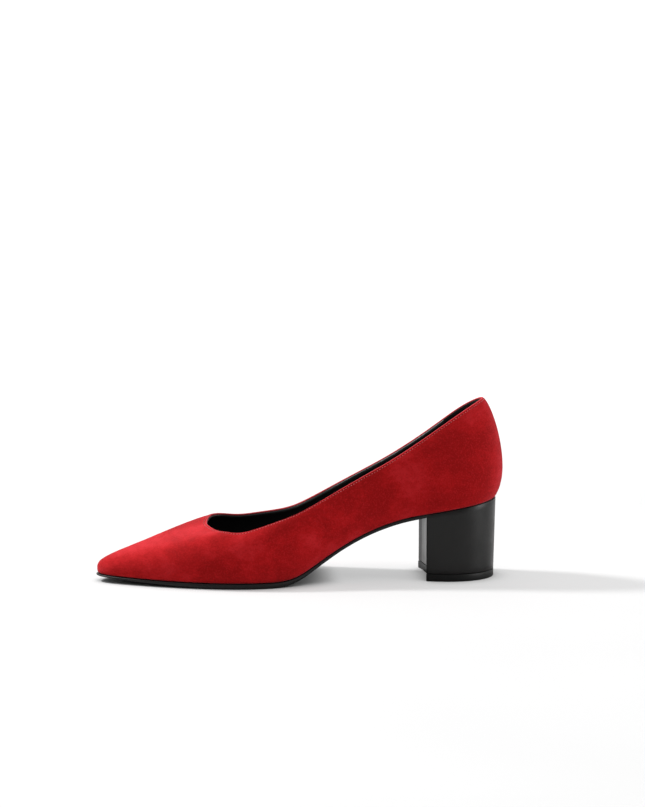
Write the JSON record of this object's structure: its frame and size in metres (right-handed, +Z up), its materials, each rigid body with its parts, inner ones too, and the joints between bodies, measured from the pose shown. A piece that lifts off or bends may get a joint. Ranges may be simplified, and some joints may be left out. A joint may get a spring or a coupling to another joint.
{
  "type": "high heel pump",
  "caption": "Right-foot court shoe with a pointed toe, low-cut crimson suede upper, black leather lining, thin black outsole and black leather-covered block heel.",
  "frame": {"origin": "middle of the shoe's bounding box in plan, on the floor it stands on", "axes": "+X runs along the shoe from the toe to the heel, +Z is up, and +Y is the outer (lateral) side, so the inner side faces -Y"},
  "size_m": [0.2502, 0.0798, 0.1107],
  "materials": {
    "suede": "matt suede nap, crimson",
    "stiffener": "matt",
    "cloth": "matt woven",
    "lining_leather": "smooth, low sheen, black",
    "grip_suede": "matt nap, black",
    "thread": "twisted thread",
    "foam": "matt foam",
    "sock_leather": "smooth, low sheen, black",
    "cork": "granular cork",
    "board": "matt fibreboard",
    "steel": "brushed",
    "sole": "matt black",
    "heel_plastic": "moulded",
    "heel_leather": "smooth, satin, black",
    "breast_leather": "smooth, satin, black",
    "top_rubber": "matt black"
  },
  "bodies": {
    "root": {"suede_upper": "suede", "toe_puff": "stiffener", "heel_counter": "stiffener", "side_liner_medial": "cloth", "side_liner_lateral": "cloth", "topline_tape": "cloth", "vamp_lining": "lining_leather", "quarter_lining_medial": "lining_leather", "quarter_lining_lateral": "lining_leather", "heel_grip": "grip_suede", "topline_stitching": "thread", "ball_cushion": "foam", "heel_cushion": "foam", "sock_lining": "sock_leather", "forefoot_filler": "cork", "insole_board": "board", "steel_shank": "steel", "shank_rivet_front": "steel", "shank_rivet_rear": "steel", "outsole": "sole", "heel_block": "heel_plastic", "heel_cover": "heel_leather", "heel_breast_cover": "breast_leather", "top_piece": "top_rubber", "top_piece_pin_1": "steel", "top_piece_pin_2": "steel", "top_piece_pin_3": "steel", "top_piece_pin_4": "steel", "heel_nail_1": "steel", "heel_nail_2": "steel", "heel_nail_3": "steel", "heel_nail_4": "steel", "heel_screw": "steel"}
  },
  "joints": []
}
